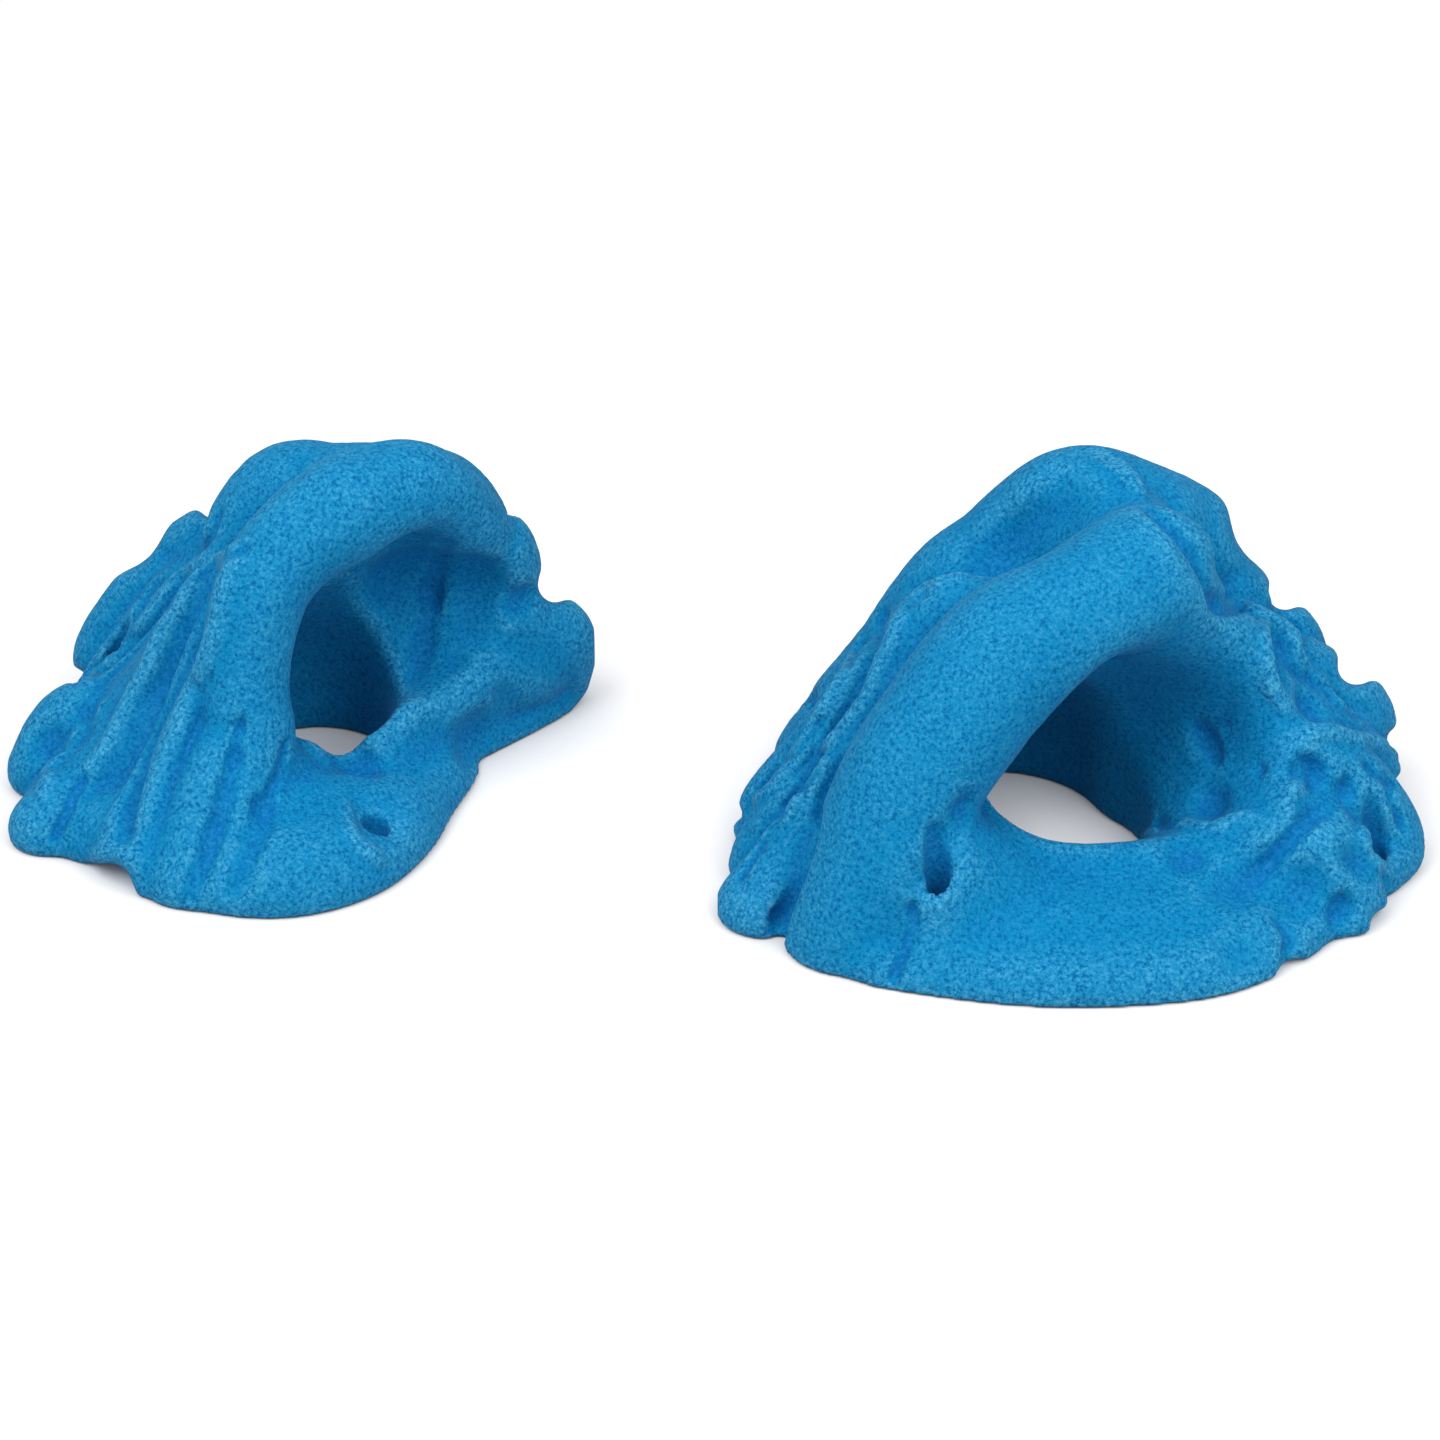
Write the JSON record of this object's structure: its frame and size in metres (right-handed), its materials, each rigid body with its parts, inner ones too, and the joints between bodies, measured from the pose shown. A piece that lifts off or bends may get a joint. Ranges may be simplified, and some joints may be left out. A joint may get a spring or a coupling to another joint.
{
  "type": "climbing hold",
  "caption": "Cast screw-on climbing holds with ridges running down to lobes and a brow arching over a deep finger pocket, with steel washers in their screw recesses.",
  "frame": {"origin": "middle of the set's flat backs, in the plane of the wall they are screwed to", "axes": "+Z away from the wall, +X from the small hold to the large one, +Y from the pockets' mouths to the backs of the arches"},
  "size_m": [0.5948, 0.3078, 0.1587],
  "materials": {
    "cast_resin": "matte, with the fine pores of the carved foam it was moulded from",
    "washer_steel": "satin zinc plate"
  },
  "bodies": {
    "root": {"large_hold_shell": "cast_resin", "small_hold_shell": "cast_resin", "large_washer_leg": "washer_steel", "large_washer_flank": "washer_steel", "large_washer_back_left": "washer_steel", "large_washer_back_right": "washer_steel", "small_washer_dish": "washer_steel", "small_washer_side_lobe": "washer_steel", "small_washer_back_left": "washer_steel", "small_washer_back_right": "washer_steel"}
  },
  "joints": []
}
